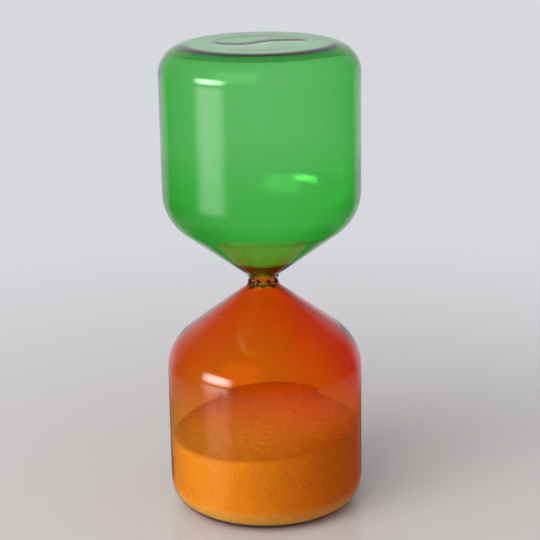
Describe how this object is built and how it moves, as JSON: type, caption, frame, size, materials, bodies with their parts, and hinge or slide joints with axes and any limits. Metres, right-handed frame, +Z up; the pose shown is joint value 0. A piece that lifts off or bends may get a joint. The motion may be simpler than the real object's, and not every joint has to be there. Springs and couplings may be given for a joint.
{
  "type": "hourglass",
  "caption": "Frameless glass hourglass: a green and an amber bulb with flat rounded ends, fused at a thick narrow neck, with loose sand settled in the lower bulb.",
  "frame": {"origin": "middle of the base, on the plane that the hourglass stands on", "axes": "+Z up the axis from the base to the top end; -Y faces the viewer of the picture, +X is to the viewer's right"},
  "size_m": [0.06, 0.06, 0.145],
  "materials": {
    "green_glass": "fire-polished, clear green",
    "amber_glass": "fire-polished, clear amber",
    "throat_glass": "fire-polished, pale brown",
    "sand": "fine matt grains"
  },
  "bodies": {
    "glass": {"lower_bulb": "amber_glass", "lower_end_seal": "amber_glass", "neck_throat": "throat_glass", "upper_bulb": "green_glass", "upper_end_seal": "green_glass"},
    "sand": {"sand": "sand"}
  },
  "joints": [
    {"name": "sand_fall", "type": "slide", "parent": "glass", "child": "sand", "axis": [0, 0, 1], "range_m": [0, 0.0038]}
  ]
}
